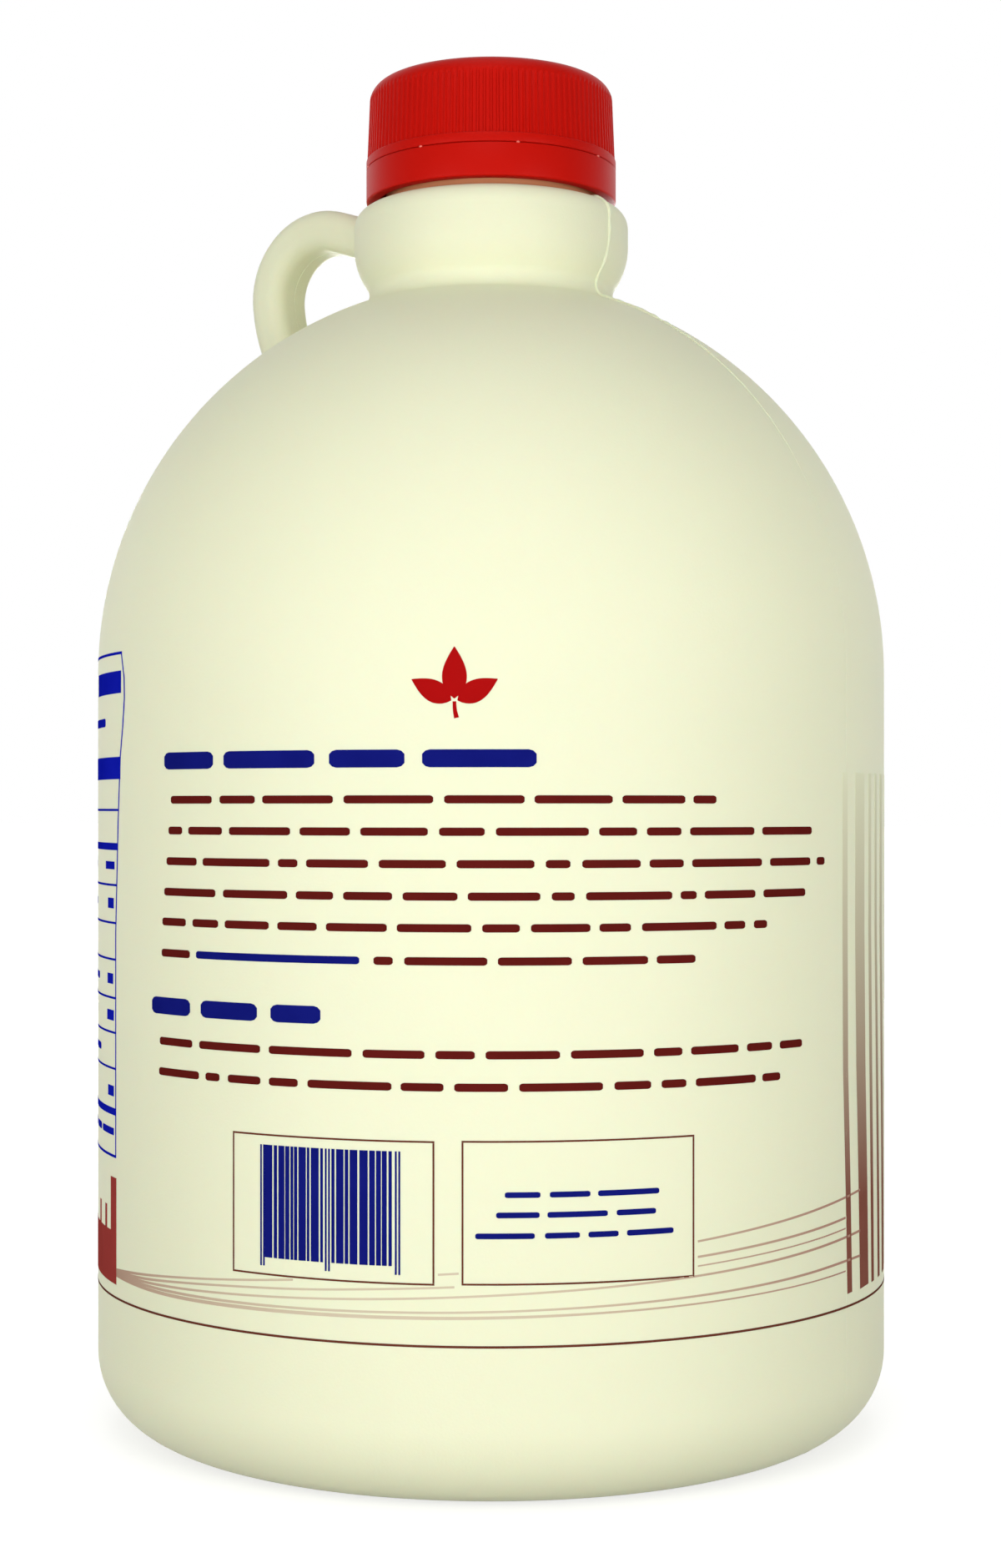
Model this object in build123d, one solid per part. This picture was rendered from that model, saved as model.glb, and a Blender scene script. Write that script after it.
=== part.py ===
from build123d import *
import math
import os

# Half-gallon syrup jug: a blow-moulded bottle with a strap handle moulded onto its neck and
# shoulder, closed with a ribbed screw cap and its tear-off tamper ring.
# Frame: origin at the middle of the base, +Z up, handle towards -X in the parting plane Y = 0.

# ---- driving sizes, millimetres and degrees ----

# bottle
body_radius = 63.5          # round body, outside; the shoulder is a dome of this same radius
wall_top = 120.6            # top of the straight wall, where the dome starts
heel_radius = 13.0          # rounding between wall and base
foot_ring = 5.0             # width of the flat ring that the bottle stands on
push_up = 3.0               # rise of the hollowed base at its middle

# neck, from the dome up
finish_radius = 17.1        # the plain upright neck wall that goes up inside the cap
bead_shelf = 5.25           # how far the bead, the neck's swelling, stands out from that wall
neck_flare = 3.15           # how far the neck widens from the dome up to the bead
neck_root_blend = 1.5       # hollow rounding where the neck leaves the dome
flare_height = 7.9          # height over which the neck widens
flare_blend = 6.0           # rounding from the flare to the bead's wall
bead_wall = 7.5             # height of the bead's upright wall, its top rounding included
bead_edge = 3.2             # rounding of the bead's top edge

# closure
thread_room = 1.5           # room between the neck wall and the cap for the screw thread
cap_wall = 1.76
band_standoff = 1.1         # gap between the bead and the tamper ring
band_height = 5.1
score_gap = 0.25            # slit between tamper ring and cap
bridge_count = 8            # small bridges across the slit
bridge_width = 0.7
bridge_depth = 0.9          # of a bridge, from its outer end inwards
bridge_inset = 0.1          # a bridge's outer end lies this far inside the ring's face
skirt_height = 1.55         # plain skirt below the ribs
rib_height = 12.45          # ribbed part and rounded edge, up to the top face
rib_setback = 0.16          # the crests at the ribs' foot lie this far inside the skirt
rib_draft = 2.4             # the ribbed part narrows upwards, for the mould
rib_depth = 0.3
rib_count = 120
rib_crest_share = 0.22      # of one pitch, across the rib's crest
rib_foot_share = 0.50       # of one pitch, across the rib's foot
cap_edge = 3.1              # rounding of the cap's top edge
edge_margin = 0.05          # the rounding trims the ribs from just outside their crests
cap_top_wall = 1.6

# handle: a strap along a straight arm, two arcs and a straight leg
strap_thickness = 6.8
strap_width = 9.4
strap_rounding = 3.2
arm_clearance = 0.55        # between the arm's upper face and the tamper ring's lower edge
arm_rise = 17.9             # slope of the arm
arm_length = 7.75           # straight arm outside the bead
top_bend_radius = 10.7
top_bend = 113.0
side_bend_radius = 26.0
side_bend = 21.0
strap_root = 8.0            # how far the strap's ends run into bead and dome

# ---- radii and levels worked out from them ----
bead_radius = finish_radius + bead_shelf
neck_root_radius = bead_radius - neck_flare
bore_radius = finish_radius + thread_room
band_radius = bore_radius + cap_wall
bridge_middle = band_radius - bridge_inset - bridge_depth / 2
rib_crest_radius = band_radius - rib_setback
foot_outer = body_radius - heel_radius
foot_inner = foot_outer - foot_ring

neck_root = wall_top + math.sqrt(body_radius**2 - neck_root_radius**2)
bead_start = neck_root + flare_height
bead_top = bead_start + bead_wall
band_bottom = bead_top + band_standoff
band_top = band_bottom + band_height
skirt_bottom = band_top + score_gap
rib_start = skirt_bottom + skirt_height
cap_top = rib_start + rib_height
lip = cap_top - cap_top_wall            # the cap's inner face seats on the neck's lip here


def turned(profile):
    """Solid of revolution about Z from a closed sketch in the XZ plane."""
    return revolve(profile, axis=Axis.Z)


def bottle_body():
    """Base, wall, dome, neck, bead and plain neck wall in one turned outline."""
    with BuildSketch(Plane.XZ) as profile:
        with BuildLine():
            hollow = TangentArc((0, push_up), (foot_inner, 0), tangent=(1, 0))
            foot = Line(hollow @ 1, (foot_outer, 0))
            heel = TangentArc(foot @ 1, (body_radius, heel_radius), tangent=(1, 0))
            wall = Line(heel @ 1, (body_radius, wall_top))
            dome = RadiusArc(wall @ 1, (neck_root_radius, neck_root), -body_radius)
            Polyline(
                dome @ 1,
                (bead_radius, bead_start),
                (bead_radius, bead_top),
                (finish_radius, bead_top),
                (finish_radius, lip),
                (0, lip),
                hollow @ 0,
            )
        make_face()
        for radius, height, rounding in (
            (neck_root_radius, neck_root, neck_root_blend),
            (bead_radius, bead_start, flare_blend),
            (bead_radius, bead_top, bead_edge),
        ):
            corner = profile.vertices().sort_by_distance((radius, height))[0]
            fillet(corner, rounding)
    return turned(profile.sketch)


def leg_length(top, direction):
    """Length of the leg from its last bend until it is strap_root inside the dome."""
    offset = top - Vector(0, 0, wall_top)
    along = offset.dot(direction)
    depth = body_radius - strap_root
    return -along - math.sqrt(along**2 - offset.dot(offset) + depth**2)


def handle():
    """Strap swept along its centre line, from inside the bead to inside the dome."""
    rise = math.radians(arm_rise)
    outward = Vector(-math.cos(rise), 0, math.sin(rise))
    under_ring = band_bottom - arm_clearance - strap_thickness / 2 / math.cos(rise)
    leaves_bead = Vector(
        -bead_radius, 0, under_ring + (bead_radius - band_radius) * math.tan(rise)
    )
    start = leaves_bead - outward * strap_root
    bend_start = leaves_bead + outward * arm_length
    with BuildLine(Plane.XZ) as path:
        Line((start.X, start.Z), (bend_start.X, bend_start.Z))
        top_arc = JernArc(
            (bend_start.X, bend_start.Z), (outward.X, outward.Z), top_bend_radius, top_bend
        )
        top_end = top_arc @ 1
        top_way = top_arc % 1
        side_arc = JernArc(
            (top_end.X, top_end.Z), (top_way.X, top_way.Z), side_bend_radius, side_bend
        )
        leg_top = side_arc @ 1
        leg_way = side_arc % 1
        leg_end = leg_top + leg_way * leg_length(leg_top, leg_way)
        Line((leg_top.X, leg_top.Z), (leg_end.X, leg_end.Z))
    section_plane = Plane(origin=start, x_dir=(0, 1, 0), z_dir=outward)
    with BuildSketch(section_plane) as section:
        RectangleRounded(strap_width, strap_thickness, strap_rounding)
    return sweep(section.sketch, path=path.line)


def jug():
    """The bottle and its handle, one moulding."""
    return bottle_body() + handle()


def rib_section(height):
    """Cap's outline through the ribs at this height, each rib with a narrow crest."""
    pitch = 2 * math.pi / rib_count
    crest_radius = rib_crest_radius - height * math.tan(math.radians(rib_draft))
    foot_radius = crest_radius - rib_depth
    rib = (
        (-rib_foot_share / 2, foot_radius),
        (-rib_crest_share / 2, crest_radius),
        (rib_crest_share / 2, crest_radius),
        (rib_foot_share / 2, foot_radius),
    )
    points = []
    for index in range(rib_count):
        for share, radius in rib:
            angle = (index + share) * pitch
            points.append((radius * math.cos(angle), radius * math.sin(angle)))
    with BuildSketch(Plane.XY.offset(rib_start + height)) as section:
        with BuildLine():
            Polyline(*points, close=True)
        make_face()
    return section.sketch


def cap():
    """Screw cap: plain skirt, ribbed grip that dies out in the rounded edge, flat top."""
    narrowing = rib_height * math.tan(math.radians(rib_draft))
    foot_radius = rib_crest_radius + edge_margin
    top_radius = foot_radius - narrowing
    with BuildSketch(Plane.XZ) as profile:
        with BuildLine():
            Polyline(
                (0, rib_start),
                (foot_radius, rib_start),
                (top_radius, cap_top),
                (0, cap_top),
                close=True,
            )
        make_face()
        edge = profile.vertices().sort_by_distance((top_radius, cap_top))[0]
        fillet(edge, cap_edge)
    ribbed = loft([rib_section(0), rib_section(rib_height)], ruled=True)
    skirt = Pos(0, 0, skirt_bottom) * extrude(Circle(band_radius), amount=skirt_height)
    bore = Pos(0, 0, skirt_bottom) * extrude(Circle(bore_radius), amount=lip - skirt_bottom)
    return (turned(profile.sketch) & ribbed) + skirt - bore


def tamper_band():
    """Tear-off ring with the small bridges that hold it to the cap's skirt."""
    with BuildPart() as band:
        with BuildSketch(Plane.XY.offset(band_bottom)):
            Circle(band_radius)
            Circle(bore_radius, mode=Mode.SUBTRACT)
        extrude(amount=band_height)
        with BuildSketch(Plane.XY.offset(band_top)):
            with PolarLocations(bridge_middle, bridge_count):
                Rectangle(bridge_depth, bridge_width)
        extrude(amount=score_gap)
    return band.part


os.makedirs("parts", exist_ok=True)
for name, make in (("jug", jug), ("cap", cap), ("tamper_band", tamper_band)):
    export_step(make(), f"parts/{name}.step")
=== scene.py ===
import math

import bpy
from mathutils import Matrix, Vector


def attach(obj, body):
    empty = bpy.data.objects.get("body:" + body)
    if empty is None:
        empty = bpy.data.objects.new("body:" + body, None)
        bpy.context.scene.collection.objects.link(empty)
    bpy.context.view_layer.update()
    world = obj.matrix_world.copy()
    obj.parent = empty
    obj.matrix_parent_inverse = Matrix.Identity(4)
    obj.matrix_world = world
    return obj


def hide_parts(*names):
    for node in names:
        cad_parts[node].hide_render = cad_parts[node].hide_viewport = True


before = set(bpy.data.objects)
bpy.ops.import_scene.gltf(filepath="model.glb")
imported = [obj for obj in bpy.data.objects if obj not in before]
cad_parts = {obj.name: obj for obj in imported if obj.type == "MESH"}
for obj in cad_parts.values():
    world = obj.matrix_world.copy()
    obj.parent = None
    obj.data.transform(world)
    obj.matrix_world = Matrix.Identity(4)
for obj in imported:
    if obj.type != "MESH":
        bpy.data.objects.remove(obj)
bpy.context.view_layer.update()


# ---- bottle ----
# Half-gallon bottle of cream polyethylene with a satin skin, blow-moulded in one piece with its
# strap handle. The handle leaves the bead under the cap and comes down onto the shoulder, and
# the base is hollowed so that the bottle stands on a flat ring.

MM = 0.001
body_radius = 63.5
heel_radius = 13.0
foot_ring = 5.0
push_up = 3.0
wall_top = 120.6
finish_radius = 17.1
bead_radius = 22.35
belly_curve = 11.3
belly_height = 190.5
neck_root_blend = 2.4
bead_top = 196.53
bead_edge = 3.2
lip_height = 215.38
bottle_sides = 288
weld = 1e-6

strap_thickness = 6.8
strap_width = 9.4
strap_rounding = 2.7
arm_start = (-22.35, 194.15)
arm_rise = 17.9
arm_length = 7.75
top_bend = (10.7, 113.0)
side_bend = (26.0, 21.0)
strap_root = 8.0

foot_outer = body_radius - heel_radius
foot_inner = foot_outer - foot_ring


def arc(centre, radius, start, end, steps):
    """Points along an arc, with its angles in degrees from straight out."""
    points = []
    for step in range(steps + 1):
        angle = math.radians(start + (end - start) * step / steps)
        across = centre[0] + radius * math.cos(angle)
        up = centre[1] + radius * math.sin(angle)
        points.append((across, up))
    return points


def rounded(before, corner, after, radius, steps):
    """Points of the arc that rounds the corner between two straight runs."""
    tip = Vector(corner)
    way_in = (tip - Vector(before)).normalized()
    way_out = (Vector(after) - tip).normalized()
    half_turn = way_in.angle(way_out) / 2
    centre = tip + (way_out - way_in).normalized() * radius / math.cos(half_turn)
    first = tip - way_in * radius * math.tan(half_turn) - centre
    last = tip + way_out * radius * math.tan(half_turn) - centre
    points = []
    for step in range(steps + 1):
        share = step / steps
        spoke = first * math.sin((1 - share) * 2 * half_turn) + last * math.sin(share * 2 * half_turn)
        points.append(tuple(centre + spoke.normalized() * radius))
    return points


def drawn_line(name, *runs, smooth=False):
    """A curve of one or more runs of points, each across and up in millimetres and a size."""
    curve = bpy.data.curves.new(name, "CURVE")
    curve.dimensions = "3D"
    for run in runs:
        spline = curve.splines.new("NURBS" if smooth else "POLY")
        spline.points.add(len(run) - 1)
        for point, (across, up, *size) in zip(spline.points, run):
            point.co = (across * MM, 0, up * MM, 1)
            point.radius = size[0] if size else 1.0
        if smooth:
            spline.order_u = 3
            spline.use_endpoint_u = True
    line = bpy.data.objects.new(name, curve)
    bpy.context.scene.collection.objects.link(line)
    return line


def put(tree, kind, inputs=(), **options):
    """Adds one node, sets its options and feeds its inputs with sockets or plain values."""
    node = tree.nodes.new(kind)
    for option, value in options.items():
        setattr(node, option, value)
    pairs = inputs.items() if isinstance(inputs, dict) else enumerate(inputs)
    for key, value in pairs:
        if isinstance(value, bpy.types.NodeSocket):
            tree.links.new(value, node.inputs[key])
        elif value is not None:
            node.inputs[key].default_value = value
    return node


def calc(tree, operation, *values):
    """One step of arithmetic in a tree."""
    return put(tree, "ShaderNodeMath", values, operation=operation).outputs[0]


def whole(tree, operation, *values):
    """One step of whole-number arithmetic in a tree."""
    return put(tree, "FunctionNodeIntegerMath", values, operation=operation).outputs[0]


def own(tree, what):
    """Each point's own Index, Position or Radius."""
    return put(tree, "GeometryNodeInput" + what).outputs[0]


def drawn(tree, guide):
    """The points or lines of a guide, brought into a tree."""
    return put(tree, "GeometryNodeObjectInfo", {"Object": guide}).outputs["Geometry"]


def vector(tree, **axes):
    """A place or a way, from what is given for its X, Y and Z."""
    return put(tree, "ShaderNodeCombineXYZ", axes).outputs[0]


def split(tree, place):
    """The X, Y and Z of a place."""
    return put(tree, "ShaderNodeSeparateXYZ", {0: place}).outputs


def swung(tree, place, angle):
    """A place turned about the upright axis."""
    inputs = {"Vector": place, "Angle": angle}
    return put(tree, "ShaderNodeVectorRotate", inputs, rotation_type="Z_AXIS").outputs[0]


def at_point(tree, line, value, number, kind):
    """What a line's point of a given number has for a value."""
    inputs = {"Geometry": line, "Value": value, "Index": number}
    return put(tree, "GeometryNodeSampleIndex", inputs, data_type=kind, domain="POINT").outputs[0]


def moved(tree, geometry, **how):
    """A geometry with its points put at a Position or moved by an Offset."""
    return put(tree, "GeometryNodeSetPosition", {"Geometry": geometry, **how}).outputs[0]


def welded(tree, geometry, distance):
    """A geometry with the points that lie together made one."""
    inputs = {"Geometry": geometry, "Distance": distance}
    return put(tree, "GeometryNodeMergeByDistance", inputs).outputs[0]


def swept(tree, path, section, thickness=None, capped=True):
    """A section run along a path, thickened point by point where that is given."""
    inputs = {"Curve": path, "Profile Curve": section, "Scale": thickness, "Fill Caps": capped}
    return put(tree, "GeometryNodeCurveToMesh", inputs).outputs[0]


def ramp(tree, value, start, end, least=0.0, most=1.0):
    """Runs from least to most as a value goes from start to end."""
    ends = {"From Min": start, "From Max": end, "To Min": least, "To Max": most}
    return put(tree, "ShaderNodeMapRange", {"Value": value, **ends}).outputs[0]


def blended(tree, share, first, last):
    """A colour between two, each a plain tone or a socket."""
    return put(tree, "ShaderNodeMix", {"Factor": share, 6: first, 7: last}, data_type="RGBA").outputs[2]


def new_tree(name, sizes):
    """Starts a Geometry Nodes tree with one named input for each size."""
    kinds = {"Int": int, "Float": float, "Object": bpy.types.Object, "Material": bpy.types.Material}
    tree = bpy.data.node_groups.new(name, "GeometryNodeTree")
    tree.interface.new_socket("Geometry", in_out="OUTPUT", socket_type="NodeSocketGeometry")
    for label, value in sizes.items():
        for kind, family in kinds.items():
            if isinstance(value, family):
                tree.interface.new_socket(label, in_out="INPUT", socket_type="NodeSocket" + kind)
    return tree, tree.nodes.new("NodeGroupInput").outputs


def end_tree(tree, geometry, material):
    """Ends a tree: instances made real, smooth shading and the piece's material."""
    real = put(tree, "GeometryNodeRealizeInstances", {"Geometry": geometry})
    smooth = put(tree, "GeometryNodeSetShadeSmooth", {"Geometry": real.outputs[0]})
    coated = put(tree, "GeometryNodeSetMaterial", {"Geometry": smooth.outputs[0], "Material": material})
    put(tree, "NodeGroupOutput", {0: coated.outputs[0]})


def grow(name, tree, sizes, crease=40):
    """Runs a tree with its sizes and keeps the result as a plain mesh at the origin."""
    piece = bpy.data.objects.new(name, bpy.data.meshes.new(name))
    bpy.context.scene.collection.objects.link(piece)
    modifier = piece.modifiers.new("shape", "NODES")
    modifier.node_group = tree
    for item in tree.interface.items_tree:
        if item.in_out == "INPUT":
            modifier[item.identifier] = sizes[item.name]
    seen = piece.evaluated_get(bpy.context.evaluated_depsgraph_get())
    mesh = bpy.data.meshes.new_from_object(seen)
    piece.modifiers.clear()
    piece.data = mesh
    mesh.name = name
    while None in list(mesh.materials):
        mesh.materials.pop(index=list(mesh.materials).index(None))
    mesh.set_sharp_from_angle(angle=math.radians(crease))
    for guide in [value for value in sizes.values() if isinstance(value, bpy.types.Object)]:
        bpy.data.objects.remove(guide)
    return piece


def turned_skin(tree, outline, columns, turn_of):
    """Adds the nodes that turn an outline about the upright axis into one shut skin."""
    line = drawn(tree, outline)
    counts = put(tree, "GeometryNodeAttributeDomainSize", {0: line}, component="CURVE").outputs
    rows = counts["Point Count"]
    across = whole(tree, "ADD", columns, 1)
    grid = put(tree, "GeometryNodeMeshGrid", {"Vertices X": rows, "Vertices Y": across}).outputs["Mesh"]
    index = own(tree, "Index")
    row = whole(tree, "DIVIDE_FLOOR", index, across)
    column = whole(tree, "MODULO", index, across)
    away = at_point(tree, line, own(tree, "Position"), row, "FLOAT_VECTOR")
    lift = at_point(tree, line, own(tree, "Radius"), row, "FLOAT")
    angle, stand_out = turn_of(column, lift)
    if stand_out is not None:
        push = vector(tree, X=stand_out)
        away = put(tree, "ShaderNodeVectorMath", (away, push), operation="ADD").outputs[0]
    skin = moved(tree, grid, Position=swung(tree, away, angle))
    return put(tree, "GeometryNodeFlipFaces", {"Mesh": welded(tree, skin, weld)}).outputs[0]


def even_columns(tree, sides):
    """Columns spread evenly round the full turn, none of them standing out."""
    each_turn = calc(tree, "DIVIDE", math.tau, sides)
    return lambda column, lift: (calc(tree, "MULTIPLY", column, each_turn), None)


def moulded(name, tones, gloss, grain, depth, patch=35.0, specular=0.5):
    """A node material: close tones and roughness drift over the surface under a fine grain."""
    material = bpy.data.materials.new(name)
    material.use_nodes = True
    tree = material.node_tree
    shader = tree.nodes["Principled BSDF"]
    spot = put(tree, "ShaderNodeTexCoord").outputs["Object"]
    drift = put(tree, "ShaderNodeTexNoise", {"Vector": spot, "Scale": patch, "Detail": 3.0}).outputs[0]
    fine = put(tree, "ShaderNodeTexNoise", {"Vector": spot, "Scale": grain, "Detail": 2.0}).outputs[0]
    bump = put(tree, "ShaderNodeBump", {"Height": fine, "Distance": depth * MM}).outputs[0]
    low_tone, high_tone = [(*tone, 1) for tone in tones]
    tree.links.new(blended(tree, drift, low_tone, high_tone), shader.inputs["Base Color"])
    tree.links.new(ramp(tree, drift, 0.0, 1.0, *gloss), shader.inputs["Roughness"])
    tree.links.new(bump, shader.inputs["Normal"])
    shader.inputs["Specular IOR Level"].default_value = specular
    return material


def on_jug(piece, slot, *nodes):
    """Fixes a piece to the jug's one body and hides the CAD nodes it stands for; slot is not used."""
    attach(piece, "root")
    for node in nodes:
        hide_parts(node)


# The neck's belly is an arc that runs down from the bead; a small hollow blend joins it to the dome.
belly = Vector((bead_radius - belly_curve, belly_height - wall_top))
to_dome_blend = body_radius + neck_root_blend
to_belly_blend = belly_curve + neck_root_blend
along_belly = (to_dome_blend**2 - to_belly_blend**2 + belly.dot(belly)) / (2 * belly.length)
aside_belly = math.sqrt(to_dome_blend**2 - along_belly**2)
blend = belly.normalized() * along_belly + Vector((belly.y, -belly.x)).normalized() * aside_belly
dome_end = math.degrees(math.atan2(blend.y, blend.x))
belly_start = math.degrees(math.atan2(blend.y - belly.y, blend.x - belly.x))

push_steps = 12
bottle_outline = []
for step in range(push_steps + 1):
    share = step / push_steps
    bottle_outline.append((foot_inner * step / push_steps, push_up * (1 - share**2)))
bottle_outline += arc((foot_outer, heel_radius), heel_radius, -90, 0, 16)
bottle_outline += arc((0, wall_top), body_radius, 0, dome_end, 48)
blend_centre = (blend.x, blend.y + wall_top)
bottle_outline += arc(blend_centre, neck_root_blend, dome_end + 180, belly_start + 180, 9)[1:]
bottle_outline += arc((belly.x, belly_height), belly_curve, belly_start, 0, 10)[1:]
bottle_outline += rounded(
    (bead_radius, belly_height), (bead_radius, bead_top), (finish_radius, bead_top), bead_edge, 10
)
bottle_outline += [(finish_radius, bead_top), (finish_radius, lip_height), (0, lip_height)]

# The strap's centre line: inside the bead, out along the arm, round two bends, into the dome.
rise = math.radians(arm_rise)
arm_way = Vector((-math.cos(rise), math.sin(rise)))
arm_end = Vector(arm_start) + arm_way * arm_length
strap_line = [tuple(Vector(arm_start) - arm_way * strap_root), tuple(arm_end)]
heading = 180 - arm_rise
at = arm_end
for bend_radius, bend in (top_bend, side_bend):
    inwards = math.radians(heading + 90)
    centre = at + Vector((math.cos(inwards), math.sin(inwards))) * bend_radius
    strap_line += arc(centre, bend_radius, heading - 90, heading - 90 + bend, int(bend / 4))[1:]
    heading += bend
    at = Vector(strap_line[-1])
leg_way = Vector((math.cos(math.radians(heading)), math.sin(math.radians(heading))))
to_dome = at - Vector((0, wall_top))
along = to_dome.dot(leg_way)
leg = -along - math.sqrt(along**2 - to_dome.dot(to_dome) + (body_radius - strap_root) ** 2)
strap_line.append(tuple(at + leg_way * leg))

cream_plastic = moulded(
    "cream_polyethylene",
    ((0.785, 0.80, 0.570), (0.815, 0.825, 0.592)),
    (0.46, 0.54),
    2600.0,
    0.02,
    specular=0.15,
)
cream_shader = cream_plastic.node_tree.nodes["Principled BSDF"]
cream_shader.inputs["Subsurface Weight"].default_value = 0.12
cream_shader.inputs["Subsurface Scale"].default_value = 0.002

# Painted red bounce and shade: above the bead the plain neck wall, and not the handle, is tinted
# red-brown, standing in for the red ring's reflected light and the shade under it.
painted_bounce_start = 0.2
painted_bounce_end = 0.6
painted_bounce_reach = 1.5
painted_bounce_tone = (0.70, 0.28, 0.13, 1)
tree = cream_plastic.node_tree
plain_tone = cream_shader.inputs["Base Color"].links[0].from_socket
spot = split(tree, put(tree, "ShaderNodeTexCoord").outputs["Object"])
above_bead = ramp(tree, spot["Z"], (bead_top + painted_bounce_start) * MM, (bead_top + painted_bounce_end) * MM)
squares = [calc(tree, "POWER", spot[axis], 2.0) for axis in ("X", "Y")]
neck_square = ((finish_radius + painted_bounce_reach) * MM) ** 2
on_neck = calc(tree, "LESS_THAN", calc(tree, "ADD", *squares), neck_square)
painted_bounce = calc(tree, "MULTIPLY", above_bead, on_neck)
tree.links.new(blended(tree, painted_bounce, plain_tone, painted_bounce_tone), cream_shader.inputs["Base Color"])

bottle_sizes = {
    "Outline": drawn_line("bottle_outline", bottle_outline),
    "Sides": bottle_sides,
    "Strap Line": drawn_line("strap_line", strap_line),
    "Strap Width": strap_width * MM,
    "Strap Thickness": strap_thickness * MM,
    "Strap Rounding": strap_rounding * MM,
    "Material": cream_plastic,
}
tree, size = new_tree("turned_bottle_with_strap", bottle_sizes)
bottle_skin = turned_skin(tree, size["Outline"], size["Sides"], even_columns(tree, size["Sides"]))
section_sides = {"Width": size["Strap Width"], "Height": size["Strap Thickness"]}
section = put(tree, "GeometryNodeCurvePrimitiveQuadrilateral", section_sides).outputs[0]
softening = {"Curve": section, "Radius": size["Strap Rounding"], "Count": 6}
soft_section = put(tree, "GeometryNodeFilletCurve", softening, mode="POLY").outputs[0]
strap = swept(tree, drawn(tree, size["Strap Line"]), soft_section)
moulding = put(tree, "GeometryNodeMeshBoolean", operation="UNION", solver="EXACT")
tree.links.new(bottle_skin, moulding.inputs[1])
tree.links.new(strap, moulding.inputs[1])
end_tree(tree, moulding.outputs[0], size["Material"])
on_jug(grow("bottle", tree, bottle_sizes), "jug_plastic", "jug")


# ---- parting line ----
# Where the two halves of the mould met, a thin bead of plastic squeezed out all round the bottle
# and its handle. It is trimmed nearly flush on the wall and stands up raggedly from the shoulder
# to the bead.

trimmed_seam = 0.03
standing_seam = 0.34
foot_seam = 0.03
strap_seam = 0.05
# The near seam stops this far outside the neck wall, and the far one at this share of the
# shoulder's height, before the handle's foot.
neck_gap = 0.6
far_reach = 0.78
shoulder_start = 150.0
shoulder_end = 178.0


def seam_size(up):
    """How thick the seam is at a height, in millimetres."""
    if up < 1:
        return foot_seam
    share = min(1, max(0, (up - shoulder_start) / (shoulder_end - shoulder_start)))
    return trimmed_seam + (standing_seam - trimmed_seam) * share


def beside(points, distance):
    """A line's points moved sideways by a distance."""
    shifted = []
    for index, point in enumerate(points):
        ahead = Vector(points[min(index + 1, len(points) - 1)])
        behind = Vector(points[max(index - 1, 0)])
        way = (ahead - behind).normalized()
        shifted.append((point[0] + way.y * distance, point[1] - way.x * distance))
    return shifted


near_seam = [point for point in bottle_outline if point[1] < bead_top]
near_seam += [(bead_radius - bead_edge, bead_top), (finish_radius + neck_gap, bead_top)]
far_end = wall_top + body_radius * far_reach
far_seam = [(-across, up) for across, up in near_seam if up < far_end]
seam_runs = {
    "near": near_seam,
    "far": far_seam,
    "strap_outside": beside(strap_line[1:-1], strap_thickness / 2),
    "strap_inside": beside(strap_line[1:-1], -strap_thickness / 2),
}
for run_name, run in seam_runs.items():
    on_strap = "strap" in run_name
    sized_run = [(across, up, strap_seam if on_strap else seam_size(up)) for across, up in run]
    seam_sizes = {
        "Run": drawn_line("seam_run_" + run_name, sized_run),
        "Step": 0.5 * MM,
        "Raggedness": 0.9,
        "Wander": 0.12 * MM,
        "Patch": 420.0,
        "Seed": 4.0,
        "Material": cream_plastic,
    }
    tree, size = new_tree("seam_bead", seam_sizes)
    stepping = {"Curve": drawn(tree, size["Run"]), "Length": size["Step"]}
    even = put(tree, "GeometryNodeResampleCurve", stepping, mode="LENGTH").outputs[0]
    noise = {"Vector": own(tree, "Position"), "W": size["Seed"], "Scale": size["Patch"], "Detail": 1.0}
    chance = put(tree, "ShaderNodeTexNoise", noise, noise_dimensions="4D").outputs[0]
    swing = calc(tree, "MULTIPLY_ADD", chance, 2.0, -1.0)
    wandering = moved(tree, even, Offset=vector(tree, Y=calc(tree, "MULTIPLY", swing, size["Wander"])))
    ragged = calc(tree, "MULTIPLY_ADD", swing, size["Raggedness"], 1.0)
    thickness = calc(tree, "MULTIPLY", own(tree, "Radius"), ragged)
    circle = {"Resolution": 8, "Radius": MM}
    round_bead = put(tree, "GeometryNodeCurvePrimitiveCircle", circle).outputs[0]
    end_tree(tree, swept(tree, wandering, round_bead, thickness), size["Material"])
    on_jug(grow("seam_" + run_name, tree, seam_sizes, crease=70), "jug_plastic")


# ---- tamper ring ----
# Tear-off ring of the red closure, moulded with the cap in polypropylene. It sits loosely above
# the bottle's bead. Eight small bridges hold it to the cap until the first opening; their paler red
# is partly strain whitening and partly a painted glint.

bore_radius = 18.6
band_radius = 20.36
band_bottom = 197.63
band_top = 202.86
skirt_bottom = 202.98
band_edge = 0.35

ring_outline = rounded(
    (bore_radius, band_bottom), (band_radius, band_bottom), (band_radius, band_top), band_edge, 4
)
ring_outline += rounded(
    (band_radius, band_bottom), (band_radius, band_top), (bore_radius, band_top), band_edge / 4, 3
)
ring_outline += [(bore_radius, band_top), (bore_radius, band_bottom), ring_outline[0]]

red_plastic = moulded(
    "red_polypropylene",
    ((0.49, 0.005, 0.002), (0.545, 0.007, 0.003)),
    (0.34, 0.42),
    1500.0,
    0.015,
    specular=0.05,
)
# The bridges' paler red: partly strain whitening, partly a painted glint.
strained_and_glint_red_plastic = moulded(
    "strained_and_glint_red_polypropylene", ((0.70, 0.10, 0.07), (0.78, 0.16, 0.12)), (0.22, 0.30), 1500.0, 0.01
)

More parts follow.
